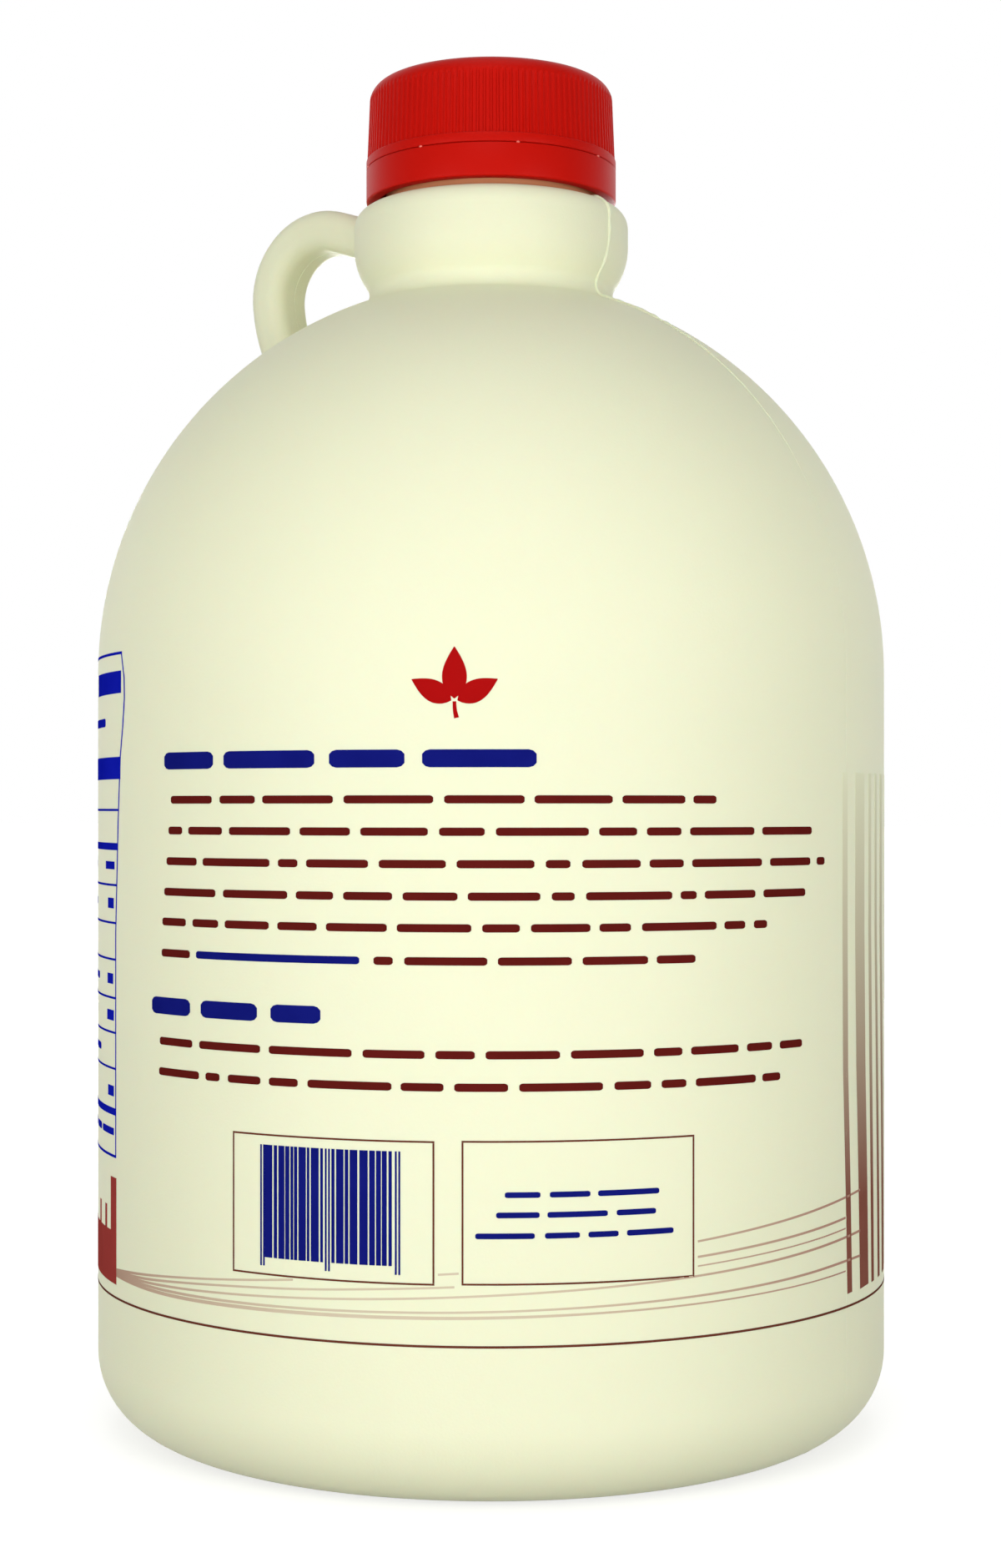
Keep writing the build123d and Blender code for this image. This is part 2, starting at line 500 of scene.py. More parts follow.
ring_sizes = {"Outline": drawn_line("ring_outline", ring_outline), "Sides": 240, "Material": red_plastic}
tree, size = new_tree("tamper_ring", ring_sizes)
ring_skin = turned_skin(tree, size["Outline"], size["Sides"], even_columns(tree, size["Sides"]))
end_tree(tree, ring_skin, size["Material"])
on_jug(grow("tamper_ring", tree, ring_sizes, crease=35), "cap_plastic", "tamper_band")

bridge_sizes = {
    "Bridge Count": 8,
    "Bridge Radius": (band_radius - 0.10) * MM,
    "Bridge Middle": (band_top + skirt_bottom) / 2 * MM,
    "Bridge Width": 0.30 * MM,
    "Bridge Depth": 0.22 * MM,
    "Bridge Height": 0.19 * MM,
    "Material": strained_and_glint_red_plastic,
}
tree, size = new_tree("tamper_bridges", bridge_sizes)
each_turn = calc(tree, "DIVIDE", math.tau, size["Bridge Count"])
bridge_turn = calc(tree, "MULTIPLY", own(tree, "Index"), each_turn)
out_there = vector(tree, X=size["Bridge Radius"], Z=size["Bridge Middle"])
bridge_spots = {"Count": size["Bridge Count"], "Position": swung(tree, out_there, bridge_turn)}
bridge_shape = {"Segments": 12, "Rings": 8, "Radius": 1.0}
bridge_placing = {
    "Points": put(tree, "GeometryNodePoints", bridge_spots).outputs[0],
    "Instance": put(tree, "GeometryNodeMeshUVSphere", bridge_shape).outputs[0],
    "Rotation": vector(tree, Z=bridge_turn),
    "Scale": vector(tree, X=size["Bridge Depth"], Y=size["Bridge Width"], Z=size["Bridge Height"]),
}
bridges = put(tree, "GeometryNodeInstanceOnPoints", bridge_placing)
end_tree(tree, bridges.outputs[0], size["Material"])
on_jug(grow("tamper_bridges", tree, bridge_sizes, crease=60), "cap_plastic")


# ---- screw cap ----
# Red polypropylene cap, injection-moulded: a plain skirt, 120 thin grip ribs that narrow a little
# upwards for the mould and die out in the rounded top edge, and a flat top with the gate's dimple.

rib_start = 204.53
cap_top = 216.98
rib_crest_radius = 20.20
rib_draft = math.tan(math.radians(2.4))
rib_depth = 0.3
rib_end = 214.7
rib_fade = 1.1
edge_margin = 0.05
cap_edge = 3.1
skirt_edge = 0.22
gate_radius = 2.4
gate_depth = 0.3

cap_outline = [(0, lip_height), (bore_radius, lip_height), (bore_radius, skirt_bottom)]
cap_outline += rounded(
    (bore_radius, skirt_bottom), (band_radius, skirt_bottom), (band_radius, rib_start), skirt_edge, 3
)
cap_outline += rounded(
    (band_radius, skirt_bottom), (band_radius, rib_start), (bore_radius, rib_start), skirt_edge, 3
)
rib_lifts = [0.0] * len(cap_outline)
edge_foot = rib_crest_radius + edge_margin
edge_top = edge_foot - (cap_top - rib_start) * rib_draft
for edge, up in [(edge_foot, rib_start)] + rounded(
    (edge_foot, rib_start), (edge_top, cap_top), (0, cap_top), cap_edge, 12
):
    crest = rib_crest_radius - (up - rib_start) * rib_draft
    depth = rib_depth * min(1, max(0, (rib_end - up) / rib_fade))
    cap_outline.append((min(crest, edge) - depth, up))
    rib_lifts.append(depth)
gate_dimple = (
    # share of the gate's radius, share of its depth
    (1, 0),
    (0.8, 1),
    (0.3, 1),
    (0.2, 1 / 3),
    (0, 1 / 3),
)
cap_outline += [(gate_radius * out, cap_top - gate_depth * down) for out, down in gate_dimple]
rib_lifts += [0.0] * len(gate_dimple)
cap_outline = [(across, up, lift * MM) for (across, up), lift in zip(cap_outline, rib_lifts)]

cap_sizes = {
    "Outline": drawn_line("cap_outline", cap_outline),
    "Rib Count": 120,
    "Rib Crest Share": 0.22,
    "Rib Foot Share": 0.50,
    "Material": red_plastic,
}
tree, size = new_tree("ribbed_cap", cap_sizes)
columns_a_rib = 4


def rib_columns(column, lift):
    """Four columns a rib: foot, crest, crest, foot; the crests stand out by the outline's lift."""
    rib = whole(tree, "DIVIDE_FLOOR", column, columns_a_rib)
    rib_middle = (columns_a_rib - 1) / 2
    from_middle = calc(tree, "SUBTRACT", whole(tree, "MODULO", column, columns_a_rib), rib_middle)
    on_crest = calc(tree, "LESS_THAN", calc(tree, "ABSOLUTE", from_middle), 1.0)
    spread = calc(tree, "SUBTRACT", size["Rib Crest Share"], size["Rib Foot Share"])
    rib_width = calc(tree, "MULTIPLY_ADD", on_crest, spread, size["Rib Foot Share"])
    share = calc(tree, "MULTIPLY", rib_width, 0.5)
    ribs_round = calc(tree, "MULTIPLY_ADD", calc(tree, "SIGN", from_middle), share, rib)
    each_rib = calc(tree, "DIVIDE", math.tau, size["Rib Count"])
    return calc(tree, "MULTIPLY", ribs_round, each_rib), calc(tree, "MULTIPLY", on_crest, lift)


cap_columns = whole(tree, "MULTIPLY", size["Rib Count"], columns_a_rib)
end_tree(tree, turned_skin(tree, size["Outline"], cap_columns, rib_columns), size["Material"])
on_jug(grow("screw_cap", tree, cap_sizes, crease=30), "cap_plastic", "cap")


# ---- printed words ----
# Two headings in blue and running text in dark red, screen-printed on the cream wall. Plain bars
# of uneven length stand in for the words, so that nothing can be read.

film = 0.06
film_root = 0.02
front_turn = -57.0
text_bar = 1.15
heading_bar = 2.5
address_bar = 0.8
link_bar = text_bar * 0.95
film_weld = 2e-6
bar_columns = 12
end_columns = 2
# A row's last bar is left out when less than this part of the shortest length remains for it.
least_part = 0.8


def ink(name, tones, gloss):
    """Screen ink: two close tones, a dull skin and a faint screen grain."""
    return moulded(name, tones, gloss, 3200.0, 0.01, patch=160.0, specular=0.0)


def marks(name, table, *columns):
    """Loose points given along and up the wall in millimetres, with one more value a column."""
    mesh = bpy.data.meshes.new(name)
    mesh.from_pydata([(row[0] * MM, 0, row[1] * MM) for row in table], [], [])
    for place, column in enumerate(columns):
        values = mesh.attributes.new(column, "FLOAT", "POINT")
        values.data.foreach_set("value", [row[2 + place] * MM for row in table])
    points = bpy.data.objects.new(name, mesh)
    bpy.context.scene.collection.objects.link(points)
    return points


def attribute(tree, name):
    """Reads a stored value in a tree."""
    return put(tree, "GeometryNodeInputNamedAttribute", {"Name": name}).outputs["Attribute"]


def stored(tree, geometry, name, value):
    """Keeps a value on every point of a geometry."""
    inputs = {"Geometry": geometry, "Name": name, "Value": value}
    kinds = {"data_type": "FLOAT", "domain": "POINT"}
    return put(tree, "GeometryNodeStoreNamedAttribute", inputs, **kinds).outputs[0]


def strip_grid(tree, columns):
    """A flat strip of two rows, all its points at one place, each knowing its column and its side."""
    grid = put(tree, "GeometryNodeMeshGrid", {"Vertices X": columns, "Vertices Y": 2}).outputs["Mesh"]
    index = own(tree, "Index")
    side = calc(tree, "MULTIPLY_ADD", whole(tree, "MODULO", index, 2), 2.0, -1.0)
    grid = stored(tree, grid, "column", whole(tree, "DIVIDE_FLOOR", index, 2))
    return moved(tree, stored(tree, grid, "side", side), Position=vector(tree))


def printed(tree, flat, size):
    """Wraps flat artwork round the bottle's wall and dome as a thin shut film of ink."""
    spot = split(tree, own(tree, "Position"))
    on_dome = calc(tree, "MAXIMUM", calc(tree, "SUBTRACT", spot["Z"], size["Wall Top"]), 0.0)
    squared = calc(tree, "MULTIPLY", size["Wall Radius"], size["Wall Radius"])
    wall = calc(tree, "SQRT", calc(tree, "SUBTRACT", squared, calc(tree, "MULTIPLY", on_dome, on_dome)))
    reach = calc(tree, "SUBTRACT", wall, size["Film Root"])
    turn = calc(tree, "ADD", calc(tree, "DIVIDE", spot["X"], size["Wall Radius"]), size["Front Turn"])
    round_wall = swung(tree, vector(tree, X=reach, Z=spot["Z"]), turn)
    under = welded(tree, moved(tree, flat, Position=round_wall), film_weld)
    raising = {"Mesh": under, "Offset Scale": size["Film"], "Individual": False}
    face = put(tree, "GeometryNodeExtrudeMesh", raising).outputs[0]
    back = put(tree, "GeometryNodeFlipFaces", {"Mesh": under}).outputs[0]
    both = put(tree, "GeometryNodeJoinGeometry")
    tree.links.new(face, both.inputs[0])
    tree.links.new(back, both.inputs[0])
    return welded(tree, both.outputs[0], film_weld)


def on_wall(**sizes):
    """A print tree's sizes: its own, and those of the wall and the film."""
    common = {
        "Wall Radius": body_radius * MM,
        "Wall Top": wall_top * MM,
        "Front Turn": math.radians(front_turn),
        "Film": film * MM,
        "Film Root": film_root * MM,
    }
    return {**{label.replace("_", " "): value for label, value in sizes.items()}, **common}


def strips_at(tree, points, columns):
    """Puts a real strip of its own on each point."""
    placing = {"Points": points, "Instance": strip_grid(tree, columns)}
    strips = put(tree, "GeometryNodeInstanceOnPoints", placing).outputs[0]
    return put(tree, "GeometryNodeRealizeInstances", {"Geometry": strips}).outputs[0]


def draw_between(tree, index, seed, least, most):
    """A random length for each point, between two sizes."""
    draw = put(tree, "FunctionNodeRandomValue", {"ID": index, "Seed": seed}, data_type="FLOAT")
    for socket in draw.inputs:
        if socket.enabled and socket.name == "Min":
            tree.links.new(least, socket)
        if socket.enabled and socket.name == "Max":
            tree.links.new(most, socket)
    return draw.outputs[1]


def word_tree(sizes):
    """Rows of bars: each point of Rows starts a row, and random bars and gaps fill its run."""
    tree, size = new_tree("bar_rows", sizes)
    rows = stored(tree, drawn(tree, size["Rows"]), "row", own(tree, "Index"))
    copies = {"Geometry": rows, "Amount": size["Most in a Row"]}
    words = put(tree, "GeometryNodeDuplicateElements", copies, domain="POINT").outputs[0]
    index = own(tree, "Index")
    bar_seed = whole(tree, "ADD", size["Seed"], 0)
    gap_seed = whole(tree, "ADD", size["Seed"], 1)
    bar = draw_between(tree, index, bar_seed, size["Shortest"], size["Longest"])
    gap = draw_between(tree, index, gap_seed, size["Least Gap"], size["Most Gap"])
    advance = {"Value": calc(tree, "ADD", bar, gap), "Group ID": attribute(tree, "row")}
    start = put(tree, "GeometryNodeAccumulateField", advance, domain="POINT").outputs["Trailing"]
    left_over = calc(tree, "SUBTRACT", attribute(tree, "run"), start)
    words = stored(tree, words, "start", start)
    words = stored(tree, words, "long", calc(tree, "MINIMUM", bar, left_over))
    least_long = calc(tree, "MULTIPLY", size["Shortest"], least_part)
    too_short = calc(tree, "LESS_THAN", attribute(tree, "long"), least_long)
    cut = {"Geometry": words, "Selection": too_short}
    words = put(tree, "GeometryNodeDeleteGeometry", cut, domain="POINT").outputs[0]
    strips = strips_at(tree, words, bar_columns)
    # The columns at a bar's ends step round a quarter circle, and the rest lie between them.
    column = attribute(tree, "column")
    last = bar_columns - 1
    from_end = calc(tree, "MINIMUM", column, calc(tree, "SUBTRACT", float(last), column))
    from_end = calc(tree, "MINIMUM", from_end, float(end_columns))
    bend_step = math.radians(90 / (end_columns + 1))
    bend = calc(tree, "MULTIPLY", calc(tree, "ADD", from_end, 1.0), bend_step)
    half = calc(tree, "MULTIPLY", attribute(tree, "bar"), 0.5)
    inset = calc(tree, "SUBTRACT", math.cos(bend_step), calc(tree, "COSINE", bend))
    inset = calc(tree, "MULTIPLY", calc(tree, "MULTIPLY", inset, half), size["Rounding"])
    drop = calc(tree, "SUBTRACT", 1.0, calc(tree, "SINE", bend))
    drop = calc(tree, "MULTIPLY", drop, size["Rounding"])
    share = ramp(tree, column, float(end_columns), float(last - end_columns))
    to_middle = calc(tree, "MULTIPLY_ADD", share, -2.0, 1.0)
    along = calc(tree, "MULTIPLY", attribute(tree, "long"), share)
    along = calc(tree, "MULTIPLY_ADD", inset, to_middle, along)
    along = calc(tree, "ADD", along, attribute(tree, "start"))
    tall = calc(tree, "MULTIPLY", half, calc(tree, "SUBTRACT", 1.0, drop))
    up = calc(tree, "MULTIPLY", tall, attribute(tree, "side"))
    flat = moved(tree, strips, Offset=vector(tree, X=along, Z=up))
    end_tree(tree, printed(tree, flat, size), size["Material"])
    return tree


def print_rows(name, rows, bars, gaps, seed, colour, slot, most_in_a_row=30, rounding=1.0):
    """Prints rows of bars on the wall; bars and gaps each run from a least to a most length."""
    sizes = on_wall(
        Rows=marks(name + "_rows", rows, "run", "bar"),
        Most_in_a_Row=most_in_a_row,
        Shortest=bars[0] * MM,
        Longest=bars[1] * MM,
        Least_Gap=gaps[0] * MM,
        Most_Gap=gaps[1] * MM,
        Rounding=rounding,
        Seed=seed,
        Material=colour,
    )
    on_jug(grow(name, word_tree(sizes), sizes), slot)


blue_ink = ink("blue_screen_ink", ((0.004, 0.006, 0.13), (0.008, 0.012, 0.19)), (0.36, 0.46))
dark_red_ink = ink("dark_red_screen_ink", ((0.085, 0.008, 0.006), (0.125, 0.011, 0.009)), (0.36, 0.46))

# Each row: along the wall, up the wall, run, bar height.
text_rows = [
    (-52.9, 100.4, 89.4, text_bar),
    (-53.5, 95.9, 106.5, text_bar),
    (-54.0, 91.4, 110.4, text_bar),
    (-54.6, 86.9, 106.0, text_bar),
    (-55.1, 82.5, 99.2, text_bar),
    (-55.3, 77.9, 6.9, text_bar),
    (-16.6, 77.9, 49.2, text_bar),
    (-55.8, 64.9, 106.4, text_bar),
    (-56.0, 60.4, 101.7, text_bar),
]
heading_rows = [(-54.6, 106.1, 61.9, heading_bar), (-58.0, 70.1, 33.4, heading_bar)]
link_rows = [(-47.0, 77.9, 28.3, link_bar)]
address_rows = [
    (1.9, 45.5, 22.3, address_bar),
    (0.7, 42.7, 24.4, address_bar),
    (-2.2, 39.8, 30.2, address_bar),
]
print_rows("text_bars", text_rows, (2.4, 13.5), (1.3, 1.7), 11, dark_red_ink, "ink_red")
print_rows("heading_bars", heading_rows, (9.0, 17.0), (2.0, 2.6), 23, blue_ink, "ink_blue")
print_rows("link_bars", link_rows, (28.0, 30.0), (1.4, 1.8), 5, blue_ink, "ink_blue")
print_rows("address_bars", address_rows, (3.6, 9.5), (1.1, 1.5), 8, blue_ink, "ink_blue")


# ---- bar pattern ----
# A block of upright blue bars of uneven width, screen-printed in two halves inside the left of two
# thin frames, with longer pairs at its ends and its middle. It carries no digits and no code.

pattern_top = 51.4
pattern_foot = 35.4
guard_foot = 34.2
pattern_middle = (pattern_top + pattern_foot) / 2
pattern_tall = pattern_top - pattern_foot
pattern_rows = [(-33.7, pattern_middle, 9.5, pattern_tall), (-22.9, pattern_middle, 9.2, pattern_tall)]
print_rows(
    "bar_pattern",
    pattern_rows,
    (0.38, 1.35),
    (0.12, 0.30),
    47,
    blue_ink,
    "ink_blue",
    most_in_a_row=40,
    rounding=0.0,
)


# ---- frames, rules and panel ----
# Straight print: two thin brown frames, the brown line round the foot of the wall, the blue
# facts table that runs out of sight at the left, and a plain red block below it. All of it is
# screen ink on the wall.


frame_trim = 1.1
panel_trim = 1.2


def bar_tree(sizes):
    """Straight bars: each point of Bars starts one and has its length, height and lean."""
    tree, size = new_tree("straight_bars", sizes)
    strips = strips_at(tree, drawn(tree, size["Bars"]), size["Columns"])
    last = calc(tree, "SUBTRACT", size["Columns"], 1.0)
    share = calc(tree, "DIVIDE", attribute(tree, "column"), last)
    side = calc(tree, "MULTIPLY", attribute(tree, "side"), 0.5)
    up = calc(tree, "MULTIPLY", attribute(tree, "bar"), side)
    leaning = calc(tree, "MULTIPLY", attribute(tree, "lean"), side)
    along = calc(tree, "MULTIPLY_ADD", attribute(tree, "run"), share, leaning)
    flat = moved(tree, strips, Offset=vector(tree, X=along, Z=up))
    end_tree(tree, printed(tree, flat, size), size["Material"])
    return tree


def frame_bars(left, right, foot, top, line):
    """The four bars of a frame: along, up, run, height and lean of each."""
    middle = (foot + top) / 2
    # The uprights are trimmed by a little over a line, to stand clear of the bars across them.
    upright = top - foot - line * frame_trim
    return [
        (left, foot, right - left, line, 0),
        (left, top, right - left, line, 0),
        (left, middle, line, upright, 0),
        (right - line, middle, line, upright, 0),
    ]


brown_ink = ink("brown_screen_ink", ((0.110, 0.030, 0.018), (0.150, 0.042, 0.026)), (0.38, 0.48))
panel_blue_ink = ink("bright_blue_screen_ink", ((0.004, 0.008, 0.36), (0.007, 0.013, 0.46)), (0.36, 0.46))
block_red_ink = ink("block_red_screen_ink", ((0.300, 0.040, 0.034), (0.360, 0.052, 0.044)), (0.38, 0.48))

ring_height = 24.4
ring_line = 0.34
frame_line = 0.26
frames = frame_bars(-39.5, -7.9, 33.0, 52.8, frame_line) + frame_bars(-4.1, 29.8, 33.1, 52.9, frame_line)

panel_left = -116.0
panel_foot = 45.9
panel_top = 122.8
panel_line = 0.42
thin_rule = 0.34
# Heights up the facts table, and where its right side stands there.
panel_edge = (
    (panel_foot, -71.4),
    (80.0, -71.4),
    (97.0, -70.2),
    (107.0, -69.2),
    (111.5, -68.1),
    (115.8, -67.4),
    (119.0, -67.5),
    (panel_top, -68.8),
)


def edge_of_panel(height):
    """Where the facts table's right side stands at a height."""
    for (low, low_edge), (high, high_edge) in zip(panel_edge, panel_edge[1:]):
        if height <= high:
            break
    return low_edge + (high_edge - low_edge) * (height - low) / (high - low)


# The table's level rules: up the wall, and line width.
panel_bars = []
for height, thick in (
    (panel_foot, panel_line),
    (52.7, 1.1),
    (59.3, thin_rule),
    (64.8, thin_rule),
    (70.1, thin_rule),
    (76.0, thin_rule),
    (81.6, thin_rule),
    (87.4, thin_rule),
    (93.3, 1.1),
    (98.9, thin_rule),
    (105.3, 3.4),
    (panel_top, panel_line),
):
    panel_bars.append((panel_left, height, edge_of_panel(height) - panel_left, thick, 0))
for (low, low_edge), (high, high_edge) in zip(panel_edge, panel_edge[1:]):
    middle = (low + high) / 2
    middle_edge = (low_edge + high_edge) / 2
    panel_bars.append((middle_edge - panel_line, middle, panel_line, high - low, high_edge - low_edge))
panel_middle = (panel_foot + panel_top) / 2
panel_upright = panel_top - panel_foot - panel_line * panel_trim
panel_bars.append((panel_left, panel_middle, panel_line, panel_upright, 0))
# The marks inside its right side: up the wall, run, bar height, and distance from that side.
for height, run, thick, from_edge in (
    (118.4, 17.0, 3.4, 1.6),
    (90.4, 5.4, 1.2, 1.6),
    (84.6, 3.4, 1.6, 1.6),
    (73.0, 3.4, 1.6, 1.6),
    (67.4, 4.0, 1.6, 1.2),
    (55.8, 3.4, 1.6, 1.2),
    (49.6, 4.6, 1.1, 1.2),
):
    panel_bars.append((edge_of_panel(height) - from_edge - run, height, run, thick, 0))

# The pattern's longer pairs, at its ends and its middle.
guard_width = 0.27
guard_middle = (pattern_top + guard_foot) / 2
guard_bars = []
for guard in (-34.5, -34.0, -23.9, -23.4, -13.5, -13.0):
    guard_bars.append((guard, guard_middle, guard_width, pattern_top - guard_foot, 0))

# A red block with a tall post at its right end and two short ones beside it: along, up, run,
# height and lean of each.
block_bars = [
    (-112.0, 30.4, 40.7, 8.0, 0),
    (-74.3, 38.53, 3.0, 8.24, 0),
    (-78.1, 36.2, 1.3, 3.6, 0),
    (-83.1, 36.2, 1.3, 3.6, 0),
]
ring_bars = [(0, ring_height, math.tau * body_radius, ring_line, 0)]
bar_sets = {
    # bars, columns, ink, slot
    "print_frames": (frames, 24, brown_ink, "ink_red"),
    "print_ring": (ring_bars, 241, brown_ink, "ink_red"),
    "print_guards": (guard_bars, 3, blue_ink, "ink_blue"),
    "print_panel": (panel_bars, 24, panel_blue_ink, "ink_blue"),
    "print_block": (block_bars, 24, block_red_ink, "ink_red"),
}
for name, (bars, columns, colour, slot) in bar_sets.items():
    bar_marks = marks(name + "_bars", bars, "run", "bar", "lean")
    bar_sizes = on_wall(Bars=bar_marks, Columns=columns, Material=colour)
    on_jug(grow(name, bar_tree(bar_sizes), bar_sizes), slot)

facts_left = panel_left + 2.0
# Each of the table's rows: up the wall, run, bar height.
facts_lines = (
    (90.4, 24, 1.1),
    (84.6, 26, 1.1),
    (79.0, 20, 1.1),
    (73.0, 30, 1.1),
    (67.4, 24, 1.1),
    (62.0, 32, 1.1),
    (55.8, 22, 1.1),
    (49.6, 38, 1.1),
    (118.8, 22.0, 3.0),
    (112.4, 38.0, 1.3),
    (96.2, 18.0, 1.1),
)
facts_rows = [(facts_left, *line) for line in facts_lines]
print_rows(
    "facts_bars", facts_rows, (3.0, 10.0), (1.1, 1.5), 17, panel_blue_ink, "ink_blue", most_in_a_row=20
)


# ---- stripes and sweeping lines ----
# Brown stripes that thin out upwards at the right, and a fan of faint lines that sweeps from the
# red block round to them behind the frames. Both are screen-printed as tints of brown.


def ribbon_tree(sizes):
    """Flat ribbons along drawn lines, as wide as each point says, their ink fading one way."""
    tree, size = new_tree("ink_ribbons", sizes)
    stepping = {"Curve": drawn(tree, size["Lines"]), "Length": size["Step"]}
    even = put(tree, "GeometryNodeResampleCurve", stepping, mode="LENGTH").outputs[0]
    facing = {"Curve": even, "Normal": vector(tree, Y=-1.0)}
    path = put(tree, "GeometryNodeSetCurveNormal", facing, mode="FREE").outputs[0]
    across = {"Start": (0, -0.5 * MM, 0), "End": (0, 0.5 * MM, 0)}
    cross_line = put(tree, "GeometryNodeCurvePrimitiveLine", across).outputs[0]
    ribbon = swept(tree, path, cross_line, own(tree, "Radius"), capped=False)
    spot = split(tree, own(tree, "Position"))
    from_centre = calc(tree, "ABSOLUTE", calc(tree, "SUBTRACT", spot["X"], size["Fade Centre"]))
    along = calc(tree, "MULTIPLY", from_centre, size["Fade Along"])
    way = calc(tree, "MULTIPLY_ADD", spot["Z"], size["Fade Up"], along)
    ends = [size[label] for label in ("Fade Start", "Fade End", "Faintest", "Fullest")]
    inked = stored(tree, ribbon, "ink", ramp(tree, way, *ends))
    end_tree(tree, printed(tree, inked, size), size["Material"])
    return tree


def print_ribbons(name, lines, smooth=False, **sizes):
    """Prints ribbons on the wall, along lines whose points each have a width."""
    sizes = on_wall(Lines=drawn_line(name + "_lines", *lines, smooth=smooth), **sizes)
    on_jug(grow(name, ribbon_tree(sizes), sizes), "ink_red")


wall_tone = (0.80, 0.812, 0.58, 1)


def tint(name, tones, gloss):
    """Ink printed as a tint: the stored strength mixes it into the cream below."""
    material = ink(name, tones, gloss)
    tree = material.node_tree
    shader = tree.nodes["Principled BSDF"]
    full = shader.inputs["Base Color"].links[0].from_socket
    strength = put(tree, "ShaderNodeAttribute", attribute_name="ink").outputs["Fac"]
    tree.links.new(blended(tree, strength, wall_tone, full), shader.inputs["Base Color"])
    return material


stripe_tint = tint("brown_tint", ((0.215, 0.075, 0.052), (0.260, 0.092, 0.066)), (0.40, 0.48))
stripe_foot = 26.3
stripe_top = 104.5
stripes = []
# Each stripe: its left side low down, at the middle and high up, and its width.
for left_low, left_middle, left_high, wide in (
    (63.6, 62.1, 61.9, 1.7),
    (68.6, 67.0, 66.5, 4.0),
    (74.4, 73.2, 72.6, 1.5),
    (78.9, 77.4, 76.4, 1.6),
    (83.4, 81.8, 80.6, 2.6),
    (91.0, 89.5, 88.2, 1.6),
    (96.4, 94.9, 93.6, 3.7),
    (104.0, 102.6, 101.4, 1.7),
):
    left_bend = left_low * 0.6 + left_middle * 0.4
    lefts = (left_low, left_bend, left_middle, left_high, left_high)
    heights = (stripe_foot, 42.0, 60.0, 80.0, stripe_top)
    stripes.append([(left + wide / 2, height, wide) for left, height in zip(lefts, heights)])
print_ribbons(
    "print_stripes",
    stripes,
    Step=2.0 * MM,
    Fade_Along=0.0,
    Fade_Centre=0.0,
    Fade_Up=1.0,
    Fade_Start=stripe_top * MM,
    Fade_End=40.0 * MM,
    Faintest=0.0,
    Fullest=1.0,
    Material=stripe_tint,
)

sweep_tint = tint("pink_brown_tint", ((0.330, 0.120, 0.090), (0.380, 0.140, 0.108)), (0.40, 0.48))

# Each sweeping line: along and up the wall and its width. The upper ones break off at the frames.
sweeps = [
    [(-71.2, 28.7, 0.45), (-62.0, 29.5, 0.38), (-52.8, 30.4, 0.32), (-38.5, 31.7, 0.3), (-29.0, 32.6, 0.3)],
    [(-7.4, 34.4, 0.3), (-6.0, 34.5, 0.3), (-4.5, 34.6, 0.3)],
    [(30.4, 37.9, 0.3), (45.0, 39.2, 0.32), (62.9, 40.9, 0.34), (68.5, 41.3, 0.34)],
    [
        (-71.2, 28.5, 0.45),
        (-62.0, 28.9, 0.40),
        (-52.8, 29.7, 0.34),
        (-40.0, 30.7, 0.3),
        (-27.0, 31.4, 0.3),
        (-15.0, 32.2, 0.3),
        (-5.1, 32.7, 0.3),
    ],
    [(30.4, 35.7, 0.32), (45.0, 36.6, 0.34), (62.9, 37.8, 0.34)],
    [(30.4, 34.4, 0.2), (45.0, 35.2, 0.2), (62.9, 36.2, 0.2)],
    [
        (-71.2, 28.3, 0.45),
        (-62.0, 28.5, 0.40),
        (-52.8, 28.9, 0.36),
        (-40.6, 29.5, 0.3),
        (-20.1, 30.5, 0.3),
        (-3.3, 31.4, 0.3),
        (13.4, 32.2, 0.3),
        (30.6, 33.0, 0.3),
        (48.0, 34.0, 0.34),
        (62.9, 34.9, 0.36),
        (68.5, 35.1, 0.36),
    ],
    [
        (-71.2, 28.1, 0.45),
        (-62.0, 28.1, 0.42),
        (-52.8, 28.2, 0.40),
        (-30.6, 28.6, 0.34),
        (-3.3, 29.2, 0.3),
        (14.4, 29.7, 0.3),
        (30.9, 30.2, 0.3),
        (48.0, 30.8, 0.34),
        (62.9, 31.4, 0.36),
        (68.5, 31.3, 0.36),
    ],
    [
        (-71.2, 27.88, 0.45),
        (-62.0, 27.65, 0.48),
        (-52.8, 27.6, 0.52),
        (-30.6, 28.0, 0.5),
        (-3.3, 28.4, 0.45),
        (15.5, 28.8, 0.3),
        (30.9, 29.1, 0.25),
        (48.0, 29.5, 0.2),
        (62.9, 29.8, 0.2),
    ],
]
print_ribbons(
    "print_sweeps",
    sweeps,
    smooth=True,
    Step=1.5 * MM,
    Fade_Along=1.0,
    Fade_Up=0.0,
    Fade_Centre=-12.0 * MM,
    Fade_Start=14.0 * MM,
    Fade_End=70.0 * MM,
    Faintest=0.42,
    Fullest=0.82,
    Material=sweep_tint,
)


# ---- sprig ----
# A small red emblem above the text: a plain sprig of three leaves on a short stalk, a generic
# shape of its own.

